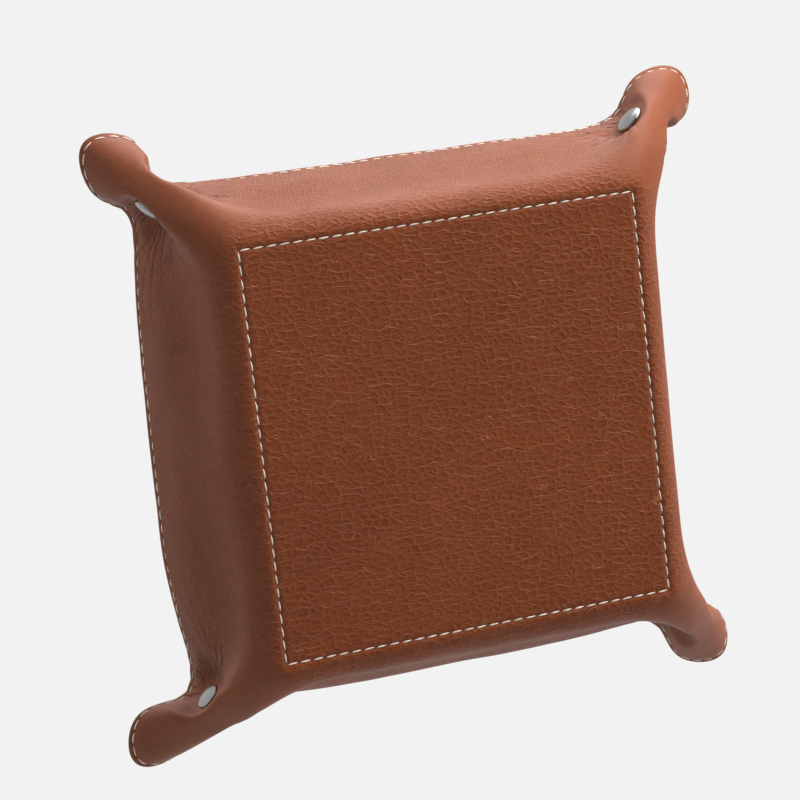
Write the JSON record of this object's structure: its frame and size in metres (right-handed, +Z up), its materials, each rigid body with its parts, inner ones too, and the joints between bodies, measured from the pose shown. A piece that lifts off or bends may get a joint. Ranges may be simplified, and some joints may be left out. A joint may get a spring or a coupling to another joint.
{
  "type": "valet tray",
  "caption": "Square leather valet tray with stitched base and rim, pinched spoon-shaped corners and press studs that open.",
  "frame": {"origin": "middle of the base's underside", "axes": "+Z up out of the tray, -Y to the front side, +X to the right side"},
  "size_m": [0.2148, 0.2065, 0.045],
  "materials": {
    "leather": "pebbled satin",
    "lining": "smooth matt",
    "board": "plain board",
    "thread": "waxed thread",
    "polished_metal": "polished",
    "steel": "satin"
  },
  "bodies": {
    "tray": {"outer_leather": "leather", "lining": "lining", "base_board": "board", "base_thread": "thread", "rim_thread": "thread", "snap_cap_front_left": "polished_metal", "snap_cap_front_right": "polished_metal", "snap_cap_back_right": "polished_metal", "snap_cap_back_left": "polished_metal", "snap_socket_front_left": "steel", "snap_socket_front_right": "steel", "snap_socket_back_right": "steel", "snap_socket_back_left": "steel"},
    "flap_front_right": {"snap_stud_front_right": "steel", "snap_post_front_right": "polished_metal"},
    "flap_back_right": {"snap_stud_back_right": "steel", "snap_post_back_right": "polished_metal"},
    "flap_back_left": {"snap_stud_back_left": "steel", "snap_post_back_left": "polished_metal"},
    "flap_front_left": {"snap_stud_front_left": "steel", "snap_post_front_left": "polished_metal"}
  },
  "joints": [
    {"name": "open_front_right", "type": "hinge", "parent": "tray", "child": "flap_front_right", "pos_m": [0.07687, -0.07687, 0.00861], "axis": [-0.4957, 0.4957, -0.7131], "range_deg": [0, 40], "deforming": ["outer_leather", "lining", "rim_thread"]},
    {"name": "open_back_right", "type": "hinge", "parent": "tray", "child": "flap_back_right", "pos_m": [0.07687, 0.07687, 0.00861], "axis": [-0.4957, -0.4957, -0.7131], "range_deg": [0, 40], "deforming": ["outer_leather", "lining", "rim_thread"]},
    {"name": "open_back_left", "type": "hinge", "parent": "tray", "child": "flap_back_left", "pos_m": [-0.07687, 0.07687, 0.00861], "axis": [0.4957, -0.4957, -0.7131], "range_deg": [0, 40], "deforming": ["outer_leather", "lining", "rim_thread"]},
    {"name": "open_front_left", "type": "hinge", "parent": "tray", "child": "flap_front_left", "pos_m": [-0.07687, -0.07687, 0.00861], "axis": [0.4957, 0.4957, -0.7131], "range_deg": [0, 40], "deforming": ["outer_leather", "lining", "rim_thread"]}
  ]
}
